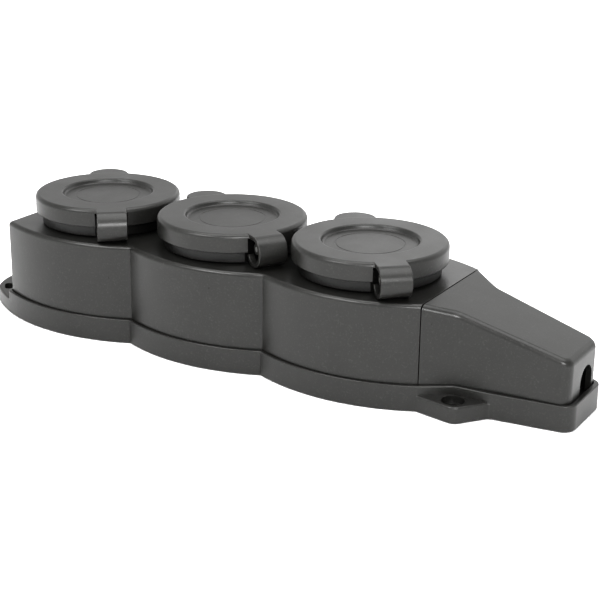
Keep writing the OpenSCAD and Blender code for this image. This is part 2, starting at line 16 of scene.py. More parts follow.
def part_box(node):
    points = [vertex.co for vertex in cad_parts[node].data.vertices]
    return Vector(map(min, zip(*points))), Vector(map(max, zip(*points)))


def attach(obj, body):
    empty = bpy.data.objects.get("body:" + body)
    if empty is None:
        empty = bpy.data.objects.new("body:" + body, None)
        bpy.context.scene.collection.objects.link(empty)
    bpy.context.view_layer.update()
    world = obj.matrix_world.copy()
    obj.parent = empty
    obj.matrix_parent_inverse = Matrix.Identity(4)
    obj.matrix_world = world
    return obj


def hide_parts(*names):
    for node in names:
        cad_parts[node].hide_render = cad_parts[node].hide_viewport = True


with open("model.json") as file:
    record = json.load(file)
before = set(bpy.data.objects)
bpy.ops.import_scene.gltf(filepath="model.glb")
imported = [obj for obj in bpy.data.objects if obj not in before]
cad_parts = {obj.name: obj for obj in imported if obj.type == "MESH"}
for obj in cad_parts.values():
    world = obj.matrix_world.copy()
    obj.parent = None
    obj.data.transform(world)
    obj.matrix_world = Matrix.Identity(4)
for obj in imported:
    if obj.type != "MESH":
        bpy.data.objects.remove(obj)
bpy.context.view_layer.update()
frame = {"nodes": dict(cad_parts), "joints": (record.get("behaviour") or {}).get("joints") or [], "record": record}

MM = 0.001
SCENE = bpy.context.scene

# ---- places taken from the frame ----


def box_mm(node):
    """Lowest and highest corner of a CAD node, in millimetres."""
    return [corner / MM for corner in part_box(node)]


BASE_LO, BASE_HI = box_mm("base_tray")
SHELL_LO, SHELL_HI = box_mm("housing_shell")
COVER_LO, COVER_HI = box_mm("terminal_cover")
SEAL_LO, SEAL_HI = box_mm("lid_seal_1")
LID_TOP = box_mm("lid_1")[1].z
SEAM = SHELL_HI.x
COLLAR_TOP = box_mm("socket_insert_1")[1].z

Socket = namedtuple("Socket", "x turn reach height")


def find_socket(k):
    """Centre, hinge direction, and the pin's distance and height of socket k."""
    lo, hi = box_mm(f"collar_gasket_{k}")
    centre = (lo.x + hi.x) / 2
    joint = next(j for j in frame["joints"] if j["name"] == f"lid_{k}_hinge")
    pin = Vector(joint["pos_m"]) / MM
    away = Vector((pin.x - centre, pin.y))
    return Socket(centre, math.atan2(away.y, away.x), away.length, pin.z)


NUMBERS = (1, 2, 3)
SOCKETS = [find_socket(k) for k in NUMBERS]
MIDDLES = [(a.x + b.x) / 2 for a, b in zip(SOCKETS, SOCKETS[1:])]

# ---- driving sizes, in millimetres ----

# Housing and cover
LOBE_R = 68.9            # scalloped sides of the housing
WALL = 2.5
TOP_FILLET = 1.7
ROOF_HOLE_R = 24.0       # the holes that the collars sit in
COVER_WALL = 2.2
COVER_FILLET = 2.3
COVER_HALF_CREASE = 17.0
COVER_HALF_END = 13.7
COVER_END_TOP = 25.3
CREASE_X = SEAM + 11.0
WINDOW_HALF_W = 12.5     # passage for the bars from the housing to the cover
WINDOW_TOP = 18.8

# Base
BASE_LOBE_R = 72.9       # scalloped sides of the base
GROOVE = 0.4             # between a wall and the base's rim
RIM_TOP = SHELL_LO.z + 2.6
FLANGE_H = 6.4
FLANGE_END_R = 29.6
FLOOR_T = 3.0
SEAT_Z = SHELL_LO.z - 1.0
LEDGE = 2.0
EAR_START_X = SEAM - 0.3
EAR_START_Y = 25.7
EAR_FLARE = 0.2          # the ear's front edge widens by this for each millimetre of X
EAR_HOLE = (SEAM + 13.3, 22.9)
EAR_HOLE_R = 2.5
EAR_SINK_R = 4.2
EAR_SINK_DEPTH = 2.4
SLOT_X = SOCKETS[0].x - 43.3
SLOT_Y = 14.5
SLOT_TURN = 48           # degrees
SLOT_R = 1.6
SLOT_REACH = 1.9         # from its middle to the centre of each round end

# Cable entry
ENTRY_W = 10.9
ENTRY_Y = 2.8
ENTRY_Z = 13.75
SADDLE_HALF_W = 9.3
SADDLE_L = 8.0
SADDLE_X = COVER_HI.x - 20.0

# Screws from below
BOSS_R = 3.8
THREAD_R = 1.8
THREAD_TOP = 22.0
SHANK_R = 1.9
HEAD_R = 3.6
HEAD_DEPTH = 2.6

# Collars and plug wells
COLLAR_R = 26.5
COLLAR_NECK_R = 23.8
COLLAR_IN_R = 20.9
LIP_R = 24.0             # the well's lip, sunk in the collar's mouth
LIP_T = 1.2
NOTCH_X = 24.6           # flat on the hinge side
NOTCH_HALF_W = 6.4
LUG_Y = (1.7, 3.1)
LUG_EYE_R = 1.65
COLLAR_BORE_R = 1.02
WELL_OUT_R = 20.8
WELL_R = 19.5
WELL_DEPTH = 17.5
WELL_FLOOR_T = 2.0
PIN_Y = 9.5
PIN_HOLE_R = 2.8
RECESS_R = 3.3
RECESS_DEPTH = 1.5
RECESS_HOLE_R = 1.7      # the socket screw's shank
CLIP_SLOT_X = (17.95, 19.1)
CLIP_SLOT_HALF_W = 3.12

# Lids
LID_R = 29.0
LID_T = 1.6
SKIRT_H = 7.1
DISH_R = 18.0
DISH_T = 1.7
RING_R = 12.75           # fine line in the dish
RING_DEPTH = 0.12
LID_NOTCH_HALF_W = 6.35
STRAP_W = 11.5
CURL_R = 5.9
CURL_X = LID_R + 2.5
CURL_Z = LID_TOP - CURL_R
CURL_ENDS = (90, -150)   # degrees
GAP_R = (3.6, 7.0)       # opening in the curl for the collar's lugs
GAP_ENDS = (-70, -160)   # degrees
EYE_Y = (3.5, 5.2)
EYE_R = 2.0
WEB_L = 3.0
WEB_HALF_H = 1.6
LID_BORE_R = 1.05
TAB_R = 8.2
TAB_REACH = 36.7
TAB_TURN = math.radians(-3)
TAB_DROP = 0.4
TAB_T = 2.0
SEAL_R = (21.0, 23.9)

# Closing springs
SPRING_R = 1.4
SPRING_HALF_L = 1.1
WIRE_R = 0.24
TURNS = 4
LEG = 1.9

# ---- outlines ----


def radians_between(start, end, steps):
    """Evenly spaced angles from start to end degrees, both ends included."""
    return [math.radians(start + (end - start) * i / steps) for i in range(steps + 1)]


def arc(centre, r, start, end, steps):
    """Points of an arc between two angles in degrees."""
    return [Vector((centre[0] + r * math.cos(a), centre[1] + r * math.sin(a)))
            for a in radians_between(start, end, steps)]


def rounded(before, corner, after, r, steps):
    """The arc that rounds one corner."""
    a = (before - corner).normalized()
    b = (after - corner).normalized()
    half = a.angle(b) / 2
    centre = corner + (a + b).normalized() * (r / math.sin(half))
    start = corner + a * (r / math.tan(half)) - centre
    turn = math.pi - 2 * half
    side = -1 if a.x * b.y - a.y * b.x > 0 else 1
    points = []
    for i in range(steps + 1):
        spin = Matrix.Rotation(side * turn * i / steps, 2)
        points.append(centre + spin @ start)
    return points


def outline(corners, closed=True, steps=5):
    """Points through (x, y, radius) corners; an open outline keeps its two ends sharp."""
    flat = [Vector(c[:2]) for c in corners]
    points = []
    for i, corner in enumerate(corners):
        inner = closed or 0 < i < len(corners) - 1
        if corner[2] and inner:
            after = flat[(i + 1) % len(flat)]
            points += rounded(flat[i - 1], flat[i], after, corner[2], steps)
        else:
            points.append(flat[i])
    return points


def mirrored(front):
    """A front side, left to right, and the same at the back, right to left."""
    return front + [(x, -y, r) for x, y, r in reversed(front)]


def inset(loop, d):
    """A closed counter-clockwise loop moved inwards by d, point by point."""
    moved = []
    for i, here in enumerate(loop):
        a = (here - loop[i - 1]).normalized()
        b = (loop[(i + 1) % len(loop)] - here).normalized()
        normals = Vector((-a.y, a.x)), Vector((-b.y, b.x))
        moved.append(here + (normals[0] + normals[1]) * (d / (1 + normals[0].dot(normals[1]))))
    return moved


def crossing(gap, lo, hi):
    """Where gap(x) changes sign between lo and hi."""
    for _ in range(40):
        mid = (lo + hi) / 2
        if (gap(lo) > 0) == (gap(mid) > 0):
            lo = mid
        else:
            hi = mid
    return mid


def lobe_half(r, half_w, socket, x):
    """Half width of one lobe at x."""
    return math.sqrt(r * r - (x - socket.x) ** 2) - (r - half_w)


def lobe_front(r, half_w, x0, x1, steps=16):
    """Front side of the three lobes from x0 to x1, as corners without a radius."""
    ends = [x0, *MIDDLES, x1]
    corners = []
    for k, socket in enumerate(SOCKETS):
        a, b = (math.asin((x - socket.x) / r) for x in ends[k:k + 2])
        last = steps if k == 2 else steps - 1
        for i in range(last + 1):
            x = socket.x + r * math.sin(a + (b - a) * i / steps)
            corners.append((x, -lobe_half(r, half_w, socket, x), 0))
    return corners


def with_radius(corners, i, r):
    """The same corners with corner i rounded."""
    x, y, _ = corners[i]
    changed = list(corners)
    changed[i] = (x, y, r)
    return changed


def housing_loop(past_seam=0, corner=1.9):
    """Outline of the housing, which can run on past the seam with the cover."""
    front = lobe_front(LOBE_R, SHELL_HI.y, SHELL_LO.x, SEAM + past_seam)
    return outline(mirrored(with_radius(front, 0, corner)))


def cover_loop(past_seam=0, corner=4.2):
    """Outline of the cover, which can start inside the housing."""
    start = COVER_LO.x
    slope = (COVER_HI.y - COVER_HALF_CREASE) / (CREASE_X - start)
    return outline(mirrored([
        (start - past_seam, -COVER_HI.y - slope * past_seam, 0),
        (CREASE_X, -COVER_HALF_CREASE, 7.0),
        (COVER_HI.x, -COVER_HALF_END, corner),
    ]))


# Front corners of the base: x, y and the radius that rounds them
EAR_CORNER = (SEAM + 16.2, -29.0, 4.0)
RIM_KINK = (SEAM + 11.6, -18.3, 2.0)
EAR_KINK = (SEAM + 24.6, -17.8, 2.0)
BASE_END = (BASE_HI.x, -14.4, 5.0)


def base_loop():
    """Outline of the floor, with the round flange at the left and an ear on each side."""
    first, last = SOCKETS[0], SOCKETS[-1]
    centre_x = BASE_LO.x + FLANGE_END_R

    def flange_gap(x):
        flange_half = math.sqrt(FLANGE_END_R ** 2 - (x - centre_x) ** 2)
        return flange_half - lobe_half(BASE_LOBE_R, BASE_HI.y, first, x)

    def ear_gap(x):
        ear_side = EAR_START_Y + (x - EAR_START_X) * EAR_FLARE
        return lobe_half(BASE_LOBE_R, BASE_HI.y, last, x) - ear_side

    x0 = crossing(flange_gap, BASE_LO.x + 1, BASE_LO.x + 9)
    x1 = crossing(ear_gap, EAR_START_X, SEAM + 3)
    end = 360 - math.degrees(math.acos((x0 - centre_x) / FLANGE_END_R))
    flange = [(p.x, p.y, 0) for p in arc((centre_x, 0), FLANGE_END_R, 180, end, 10)]
    lobes = lobe_front(BASE_LOBE_R, BASE_HI.y, x0, x1)
    lobes = with_radius(lobes, -1, 1.5)
    front = flange + lobes[1:] + [EAR_CORNER, EAR_KINK, BASE_END]
    loop = outline(mirrored(front[1:]))
    return [Vector((BASE_LO.x, 0))] + loop


def rim_loop():
    """Outline of the raised rim round the housing and the cover."""
    front = lobe_front(BASE_LOBE_R, BASE_HI.y, SHELL_LO.x - 1.4, SEAM + 0.7)
    front = with_radius(with_radius(front, 0, 2.4), -1, 0.8)
    return outline(mirrored(front + [RIM_KINK, EAR_KINK, BASE_END]))


# ---- solids ----


def solid(name, points, faces, place=None):
    """A mesh object from points in millimetres, with its faces turned outwards."""
    place = place or Matrix.Identity(4)
    mesh = bpy.data.meshes.new(name)
    mesh.from_pydata([(place @ Vector(p)) * MM for p in points], [], faces)
    bm = bmesh.new()
    bm.from_mesh(mesh)
    bmesh.ops.remove_doubles(bm, verts=bm.verts, dist=1e-7)
    bmesh.ops.recalc_face_normals(bm, faces=bm.faces)
    bm.to_mesh(mesh)
    bm.free()
    obj = bpy.data.objects.new(name, mesh)
    SCENE.collection.objects.link(obj)
    return obj


def loft(name, rings, place=None):
    """A closed solid through rings of equally many points, capped at both ends."""
    n = len(rings[0])
    points = [p for ring in rings for p in ring]
    faces = [tuple(range(n)), tuple(range(len(points) - n, len(points)))]
    for a in range(0, len(points) - n, n):
        for i in range(n):
            j = (i + 1) % n
            faces.append((a + i, a + j, a + n + j, a + n + i))
    return solid(name, points, faces, place)


def prism(name, loop, z0, z1, place=None):
    """An upright solid with a flat outline."""
    return loft(name, [[(p[0], p[1], z) for p in loop] for z in (z0, z1)], place)


def block(name, lo, hi, place=None):
    """A rectangular tool between two corners."""
    loop = [(lo[0], lo[1]), (hi[0], lo[1]), (hi[0], hi[1]), (lo[0], hi[1])]
    return prism(name, loop, lo[2], hi[2], place)


def lathe(name, profile, place=None, steps=96):
    """A solid of revolution round Z; an open (r, z) profile starts and ends on the axis."""
    points, rings = [], []
    for r, z in profile:
        if r == 0:
            rings.append([len(points)] * steps)
            points.append((0, 0, z))
            continue
        rings.append(list(range(len(points), len(points) + steps)))
        for i in range(steps):
            a = 2 * math.pi * i / steps
            points.append((r * math.cos(a), r * math.sin(a), z))
    faces = []
    pairs = list(zip(rings, rings[1:]))
    if profile[0][0] > 0:
        pairs.append((rings[-1], rings[0]))
    for low, high in pairs:
        for i in range(steps):
            j = (i + 1) % steps
            corners = (low[i], low[j], high[j], high[i])
            faces.append(tuple(dict.fromkeys(corners)))
    return solid(name, points, faces, place)


def cylinder(name, r, z0, z1, place=None, steps=48):
    """A plain round tool."""
    return lathe(name, [(0, z0), (r, z0), (r, z1), (0, z1)], place, steps)


def at(x, y, z=0.0):
    """A frame moved to (x, y, z)."""
    return Matrix.Translation((x, y, z))


def at_socket(socket):
    """A socket's own frame: its centre at the origin and its hinge towards +X."""
    return at(socket.x, 0) @ Matrix.Rotation(socket.turn, 4, "Z")


def along_y(x, z):
    """A frame whose Z axis runs along Y through (x, z)."""
    return at(x, 0, z) @ Matrix.Rotation(math.pi / 2, 4, "X")


def bake(piece):
    """Applies a piece's modifiers to its mesh."""
    bpy.context.view_layer.update()
    graph = bpy.context.evaluated_depsgraph_get()
    mesh = bpy.data.meshes.new_from_object(piece.evaluated_get(graph))
    piece.modifiers.clear()
    piece.data = mesh


def combine(piece, operation, *tools):
    """Adds or cuts away the tools, which are then deleted."""
    for tool in tools:
        step = piece.modifiers.new("combine", "BOOLEAN")
        step.operation = operation
        step.solver = "MANIFOLD"
        step.object = tool
    bake(piece)
    for tool in tools:
        bpy.data.objects.remove(tool)


def smooth(piece, sharp=38):
    """Smooth shading with sharp edges kept, weighted towards the large faces."""
    mesh = piece.data
    mesh.polygons.foreach_set("use_smooth", [True] * len(mesh.polygons))
    mesh.set_sharp_from_angle(angle=math.radians(sharp))
    step = piece.modifiers.new("weighted", "WEIGHTED_NORMAL")
    step.keep_sharp = True


def soften(piece, width, angle=50, segments=2):
    """Breaks the sharp edges that are left."""
    step = piece.modifiers.new("edges", "BEVEL")
    step.width = width * MM
    step.segments = segments
    step.limit_method = "ANGLE"
    step.angle_limit = math.radians(angle)
    step.use_clamp_overlap = True
    bake(piece)
    bm = bmesh.new()
    bm.from_mesh(piece.data)
    bmesh.ops.remove_doubles(bm, verts=bm.verts, dist=2e-6)
    bmesh.ops.dissolve_degenerate(bm, edges=bm.edges, dist=1e-6)
    bm.to_mesh(piece.data)
    bm.free()


def fillet(loop, r, z, steps=6, drop=None):
    """Rings that round the top edge of an upright wall with this outline.

    drop(x) lowers the top where it slopes.
    """
    rings = []
    for i in range(steps + 1):
        a = math.pi / 2 * i / steps
        ring = inset(loop, r * (1 - math.cos(a)))
        down = r * (1 - math.sin(a))
        rings.append([(p.x, p.y, z - down - (drop(p.x) if drop else 0)) for p in ring])
    return rings


# ---- materials ----


class Shader:
    """A node material under construction."""

    def __init__(self, name):
        self.material = bpy.data.materials.new(name)
        self.material.use_nodes = True
        self.tree = self.material.node_tree
        self.surface = self.tree.nodes["Principled BSDF"]
        self.coords = self.add("ShaderNodeTexCoord").outputs["Object"]

    def add(self, kind, **settings):
        """A new node, with its inputs or its own settings given by name."""
        node = self.tree.nodes.new(kind)
        for key, value in settings.items():
            if key in node.inputs:
                node.inputs[key].default_value = value
            else:
                setattr(node, key, value)
        return node

    def link(self, source, target):
        self.tree.links.new(source, target)

    def noise(self, scale, detail=3.0, rough=0.5, stretch=None):
        """Noise of that many features per metre."""
        node = self.add("ShaderNodeTexNoise", Scale=scale, Detail=detail, Roughness=rough)
        source = self.coords
        if stretch:
            mapping = self.add("ShaderNodeMapping")
            mapping.inputs["Scale"].default_value = stretch
            self.link(self.coords, mapping.inputs["Vector"])
            source = mapping.outputs["Vector"]
        self.link(source, node.inputs["Vector"])
        return node.outputs["Fac"]

    def spread(self, source, lo, hi, to_lo=0.0, to_hi=1.0):
        """Maps lo..hi of a value to to_lo..to_hi, clamped."""
        node = self.add("ShaderNodeMapRange")
        for name, value in (("From Min", lo), ("From Max", hi), ("To Min", to_lo), ("To Max", to_hi)):
            node.inputs[name].default_value = value
        self.link(source, node.inputs["Value"])
        return node.outputs["Result"]

    def math(self, operation, a, b):
        """Combines two values, each a number or an output."""
        node = self.add("ShaderNodeMath", operation=operation)
        for socket, value in zip(node.inputs, (a, b)):
            if isinstance(value, (int, float)):
                socket.default_value = value
            else:
                self.link(value, socket)
        return node.outputs["Value"]

    def mix(self, factor, a, b):
        """Mixes two colours, each a tuple or an output."""
        node = self.add("ShaderNodeMix", data_type="RGBA")
        self.link(factor, node.inputs["Factor"])
        for key, value in (("A", a), ("B", b)):
            socket = next(s for s in node.inputs if s.name == key and s.type == "RGBA")
            if isinstance(value, tuple):
                socket.default_value = (*value, 1.0)
            else:
                self.link(value, socket)
        return next(s for s in node.outputs if s.type == "RGBA")

    def edges(self, radius, lo, hi):
        """0 on flat stretches and 1 along convex or concave edges."""
        bevel = self.add("ShaderNodeBevel", samples=4)
        bevel.inputs["Radius"].default_value = radius
        geometry = self.add("ShaderNodeNewGeometry")
        dot = self.add("ShaderNodeVectorMath", operation="DOT_PRODUCT")
        self.link(bevel.outputs["Normal"], dot.inputs[0])
        self.link(geometry.outputs["Normal"], dot.inputs[1])
        return self.spread(self.math("SUBTRACT", 1.0, dot.outputs["Value"]), lo, hi)

    def bump(self, *layers):
        """Stacks (height output, distance in millimetres) layers into the surface normal."""
        normal = None
        for height, distance in layers:
            node = self.add("ShaderNodeBump")
            node.inputs["Strength"].default_value = 1.0
            node.inputs["Distance"].default_value = distance * MM
            self.link(height, node.inputs["Height"])
            if normal:
                self.link(normal, node.inputs["Normal"])
            normal = node.outputs["Normal"]
        self.link(normal, self.surface.inputs["Normal"])

    def finish(self, color, roughness):
        """Links the two outputs to the surface and gives back the material."""
        self.link(color, self.surface.inputs["Base Color"])
        self.link(roughness, self.surface.inputs["Roughness"])
        return self.material


def tint(color, factor):
    """The colour made lighter or darker."""
    return tuple(c * factor for c in color)


def moulded_plastic(name, color, rough, grain_mm=0.45, depth=0.012, mottle=0.10, wear=0.35):
    """Grained thermoplastic: mottled colour, faint flow, scuffs, and paler worn edges."""
    shader = Shader(name)
    clouds = shader.noise(70, 4)
    speck = shader.noise(1400, 2)
    scuffs = shader.spread(shader.noise(260, 5, 0.65, (1, 0.25, 1)), 0.63, 0.78)
    grain = shader.noise(1 / (grain_mm * MM), 2, 0.6)
    edge = shader.math("MULTIPLY", shader.edges(0.5 * MM, 0.03, 0.25),
                       shader.spread(shader.noise(380, 4), 0.40, 0.72))
    body = shader.mix(shader.spread(clouds, 0.3, 0.7), tint(color, 1 - mottle), tint(color, 1 + mottle))
    body = shader.mix(shader.spread(speck, 0.56, 0.76), body, tint(color, 1.7))
    body = shader.mix(shader.math("MULTIPLY", scuffs, 0.35), body, tint(color, 1.8))
    body = shader.mix(shader.math("MULTIPLY", edge, wear), body, tint(color, 3.5))
    roughness = shader.spread(clouds, 0.25, 0.75, rough - 0.04, rough + 0.05)
    roughness = shader.math("SUBTRACT", roughness, shader.math("MULTIPLY", scuffs, 0.05))
    shader.bump((clouds, 0.05), (grain, depth))
    shader.surface.inputs["IOR"].default_value = 1.5
    return shader.finish(body, roughness)


def soft_rubber(name, color):
    """Matte seal rubber with a fine dusty bloom."""
    shader = Shader(name)
    bloom = shader.noise(240, 5)
    body = shader.mix(shader.spread(bloom, 0.45, 0.75), color, tint(color, 2.0))
    shader.bump((shader.noise(1800, 2), 0.015))
    return shader.finish(body, shader.spread(bloom, 0.3, 0.7, 0.62, 0.78))


def metal(name, color, rough, stretch, tarnish):
    """Drawn or stamped metal with fine lines along the stretched axis and some tarnish."""
    shader = Shader(name)
    shader.surface.inputs["Metallic"].default_value = 1.0
    lines = shader.noise(900, 3, 0.6, stretch)
    clouds = shader.noise(180, 4)
    body = shader.mix(shader.spread(lines, 0.3, 0.7), tint(color, 0.88), color)
    body = shader.mix(shader.spread(clouds, 0.52, 0.80), body, tint(color, tarnish))
    shader.bump((lines, 0.006))
    return shader.finish(body, shader.spread(clouds, 0.3, 0.75, rough - 0.06, rough + 0.12))


DARK = (0.0190, 0.0189, 0.0177)    # warm anthracite

MATERIALS = {
    "base_plastic": moulded_plastic("base_plastic", DARK, 0.35),
    "housing_plastic": moulded_plastic("housing_plastic", tint(DARK, 1.02), 0.31),
    "cover_plastic": moulded_plastic("cover_plastic", DARK, 0.32),
    "lid_plastic": moulded_plastic("lid_plastic", tint(DARK, 1.10), 0.35, 0.35, 0.008),
    # painted shade: the collar colour is darkened to 0.45 of the plastic to stand in for the shadow under each lid
    "collar_plastic": moulded_plastic("collar_plastic", tint(DARK, 0.45), 0.36),
    "insert_plastic": moulded_plastic("insert_plastic", tint(DARK, 1.15), 0.36, 0.3, 0.006),
    "clamp_plastic": moulded_plastic("clamp_plastic", (0.10, 0.10, 0.095), 0.42, 0.3, 0.006),
    "insulator": moulded_plastic("insulator", (0.66, 0.62, 0.52), 0.42, 0.3, 0.006, 0.04, 0.0),
    "seal_rubber": soft_rubber("seal_rubber", (0.012, 0.012, 0.012)),
    "steel": metal("steel", (0.62, 0.62, 0.60), 0.34, (1, 1, 0.1), 0.75),
    "spring_steel": metal("spring_steel", (0.66, 0.64, 0.58), 0.30, (0.1, 1, 1), 0.7),
    "contact_brass": metal("contact_brass", (0.74, 0.56, 0.28), 0.32, (0.1, 1, 1), 0.6),
}


def dress(piece, slot, body, *nodes):
    """Material, slot, body and replaced CAD nodes of a finished piece."""
    piece.data.materials.clear()
    piece.data.materials.append(MATERIALS[slot])
    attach(piece, body)
    if nodes:
        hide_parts(*nodes)
    return piece


# ---- base ----


def both_sides(*spots):
    """Each (x, y) spot and the same on the other side of the X axis."""
    return [(x, side * y) for x, y in spots for side in (-1, 1)]


SCREW_SPOTS = both_sides(
    (SOCKETS[0].x - 27.1, 17.0), *[(x, 19.0) for x in MIDDLES], (SOCKETS[2].x + 28.1, 17.0))
COVER_SCREW_SPOTS = both_sides((SEAM + 24.5, 9.4))


def make_base():
    """Tray, flange, ears, rim, screw bosses and cable saddle."""
    floor_loop = base_loop()
    rings = [[(p.x, p.y, 0) for p in inset(floor_loop, 0.5)],
             [(p.x, p.y, 0.5) for p in floor_loop]]
    base = loft("base", rings + fillet(floor_loop, 0.9, FLANGE_H))
    wall = inset(rim_loop(), 0.02)
    rim_rings = [[(p.x, p.y, FLOOR_T / 2) for p in wall]] + fillet(wall, 0.45, RIM_TOP, 4)
    combine(base, "UNION", loft("rim", rim_rings))
    combine(base, "DIFFERENCE",
            prism("pocket", inset(housing_loop(), -GROOVE), SEAT_Z, RIM_TOP + 1),
            prism("pocket", inset(cover_loop(1), -GROOVE), SEAT_Z, RIM_TOP + 1))
    combine(base, "DIFFERENCE",
            prism("cavity", inset(housing_loop(0, 0), WALL + LEDGE), FLOOR_T, SEAT_Z + 1),
            prism("cavity", inset(cover_loop(8, 0), COVER_WALL + LEDGE), FLOOR_T, SEAT_Z + 1))
    spots = SCREW_SPOTS + COVER_SCREW_SPOTS
    bosses = [cylinder("boss", BOSS_R, 1, SHELL_LO.z, at(x, y)) for x, y in spots]
    saddle = block("saddle", (SADDLE_X, ENTRY_Y - SADDLE_HALF_W, 1),
                   (SADDLE_X + SADDLE_L, ENTRY_Y + SADDLE_HALF_W, ENTRY_Z))
    combine(base, "UNION", *bosses, saddle)
    cuts = []
    for x, y in spots:
        cuts.append(cylinder("sink", HEAD_R, -1, HEAD_DEPTH, at(x, y)))
        cuts.append(cylinder("hole", SHANK_R, -2, SHELL_LO.z + 1, at(x, y), 24))
    for x, y in both_sides(EAR_HOLE):
        cuts.append(cylinder("ear_hole", EAR_HOLE_R, -1, FLANGE_H + 2, at(x, y), 32))
        cuts.append(cylinder("ear_sink", EAR_SINK_R, FLANGE_H - EAR_SINK_DEPTH, FLANGE_H + 3, at(x, y)))
    for side in (-1, 1):
        slot = [(SLOT_REACH + SLOT_R * math.sin(a), SLOT_R * math.cos(a))
                for a in radians_between(0, 180, 10)]
        slot += [(-x, -y) for x, y in slot]
        turn = Matrix.Rotation(side * math.radians(SLOT_TURN), 4, "Z")
        cuts.append(prism("slot", slot[::-1], -1, FLANGE_H + 1, at(SLOT_X, side * SLOT_Y) @ turn))
    trough = at(SADDLE_X - 1, ENTRY_Y, ENTRY_Z) @ Matrix.Rotation(math.pi / 2, 4, "Y")
    cuts.append(cylinder("trough", ENTRY_W / 2, 0, SADDLE_L + 2, trough))
    combine(base, "DIFFERENCE", *cuts)
    soften(base, 0.18)
    smooth(base)
    return dress(base, "base_plastic", "box", "base_tray")


# ---- housing and cover ----


def thread_bores(spots, foot):
    """Tools for the blind holes that the screws from below bite into."""
    return [cylinder("bore", THREAD_R, foot - 1, THREAD_TOP, at(x, y), 24) for x, y in spots]


def make_housing():
    """Casing with scalloped walls, screw bosses and a round hole for each socket."""
    loop = housing_loop(2)
    top, foot = SHELL_HI.z, SHELL_LO.z
    roof = top - WALL
    housing = loft("housing", [[(p.x, p.y, foot) for p in loop]] + fillet(loop, TOP_FILLET, top))
    combine(housing, "DIFFERENCE",
            prism("cavity", inset(housing_loop(0, 0), WALL), foot - 1, roof),
            block("end", (SEAM, -40, foot - 1), (SEAM + 5, 40, top + 1)))
    bosses = [cylinder("boss", BOSS_R, foot, roof + 1, at(x, y)) for x, y in SCREW_SPOTS]
    combine(housing, "UNION", *bosses)
    mouths = [cylinder("mouth", ROOF_HOLE_R, roof - 1, top + 1, at(s.x, 0), 96) for s in SOCKETS]
    window = block("window", (SEAM - WALL - 1, -WINDOW_HALF_W, foot - 1),
                   (SEAM + 1, WINDOW_HALF_W, WINDOW_TOP))
    combine(housing, "DIFFERENCE", *mouths, *thread_bores(SCREW_SPOTS, foot), window)
    soften(housing, 0.15)
    smooth(housing)
    return dress(housing, "housing_plastic", "box", "housing_shell")


def cover_drop(x):
    """How far the cover's top has come down at x."""
    return (SHELL_HI.z - COVER_END_TOP) * (x - SEAM) / (COVER_HI.x - SEAM)


def make_cover():
    """Sloping end casing with the arched cable entry."""
    loop, foot, top = cover_loop(2), COVER_LO.z, SHELL_HI.z
    rings = [[(p.x, p.y, foot) for p in loop]] + fillet(loop, COVER_FILLET, top, drop=cover_drop)
    cover = loft("cover", rings)
    inner = inset(cover_loop(6), COVER_WALL)
    hollow = loft("hollow", [
        [(p.x, p.y, foot - 1) for p in inner],
        [(p.x, p.y, top - COVER_WALL - cover_drop(p.x)) for p in inner]])
    bosses = [cylinder("boss", BOSS_R, foot, top + 4, at(x, y)) for x, y in COVER_SCREW_SPOTS]
    combine(hollow, "DIFFERENCE", *bosses)
    combine(cover, "DIFFERENCE", hollow,
            block("end", (COVER_LO.x - 5, -40, foot - 2), (COVER_LO.x, 40, top + 2)))
    half = ENTRY_W / 2
    arch = [(ENTRY_Y + half * math.cos(a), ENTRY_Z + half * math.sin(a))
            for a in radians_between(0, 180, 20)]
    arch += [(ENTRY_Y - half, foot - 2), (ENTRY_Y + half, foot - 2)]
    entry = loft("entry", [[(x, y, z) for y, z in arch] for x in (COVER_HI.x - 4, COVER_HI.x + 1)])
    combine(cover, "DIFFERENCE", entry, *thread_bores(COVER_SCREW_SPOTS, foot))
    soften(cover, 0.2)
    smooth(cover)
    return dress(cover, "cover_plastic", "box", "terminal_cover")


# ---- sockets ----


def both_spans(near, far):
    """The span from near to far on each side of zero."""
    return (-far, -near), (near, far)


def make_collar(k, socket):
    """The ring round a well's mouth, with two lugs that hold the hinge pin."""
    place = at_socket(socket)
    foot, neck, top = SHELL_HI.z + 0.5, SHELL_HI.z - WALL + 0.2, COLLAR_TOP
    mouth_r = LIP_R + 0.1
    profile = outline([
        (COLLAR_IN_R, neck, 0.2), (COLLAR_NECK_R, neck, 0.2), (COLLAR_NECK_R, foot, 0),
        (COLLAR_R, foot, 0.4), (COLLAR_R, top, 0.5), (mouth_r, top, 0),
        (mouth_r, top - LIP_T, 0), (COLLAR_IN_R, top - LIP_T, 0)],
        steps=4)
    collar = lathe(f"collar_{k}_ring", profile, place, 128)
    combine(collar, "DIFFERENCE",
            block("notch", (NOTCH_X, -NOTCH_HALF_W, SHELL_HI.z), (40, NOTCH_HALF_W, 60), place))
    x, z = socket.reach, socket.height
    side = [(24.2, z - 1), (25.4, z - 1), (25.4, z + 0.9), (CURL_X - 3.3, z + 1.1),
            (CURL_X - 0.7, z - 0.6), (x - 1.4, z - 0.9), (x, z - 0.6), (x, z + 1.6),
            (x - 1.5, z + 1.8), (x - 2.7, z + 2.5), (24.4, z + 2.5), (24.2, z + 0.9)]
    pin = place @ along_y(x, z)
    lugs = []
    for y0, y1 in both_spans(*LUG_Y):
        lugs.append(loft("lug", [[(px, y, pz) for px, pz in side] for y in (y0, y1)], place))
        lugs.append(cylinder("eye", LUG_EYE_R, -y1, -y0, pin, 32))
    combine(collar, "UNION", *lugs)
    combine(collar, "DIFFERENCE", cylinder("bore", COLLAR_BORE_R, -4, 4, pin, 24))
    soften(collar, 0.12)
    smooth(collar)
    # the collar's darker material is painted shade for the shadow under its lid
    return dress(collar, "collar_plastic", "box", f"collar_{k}")


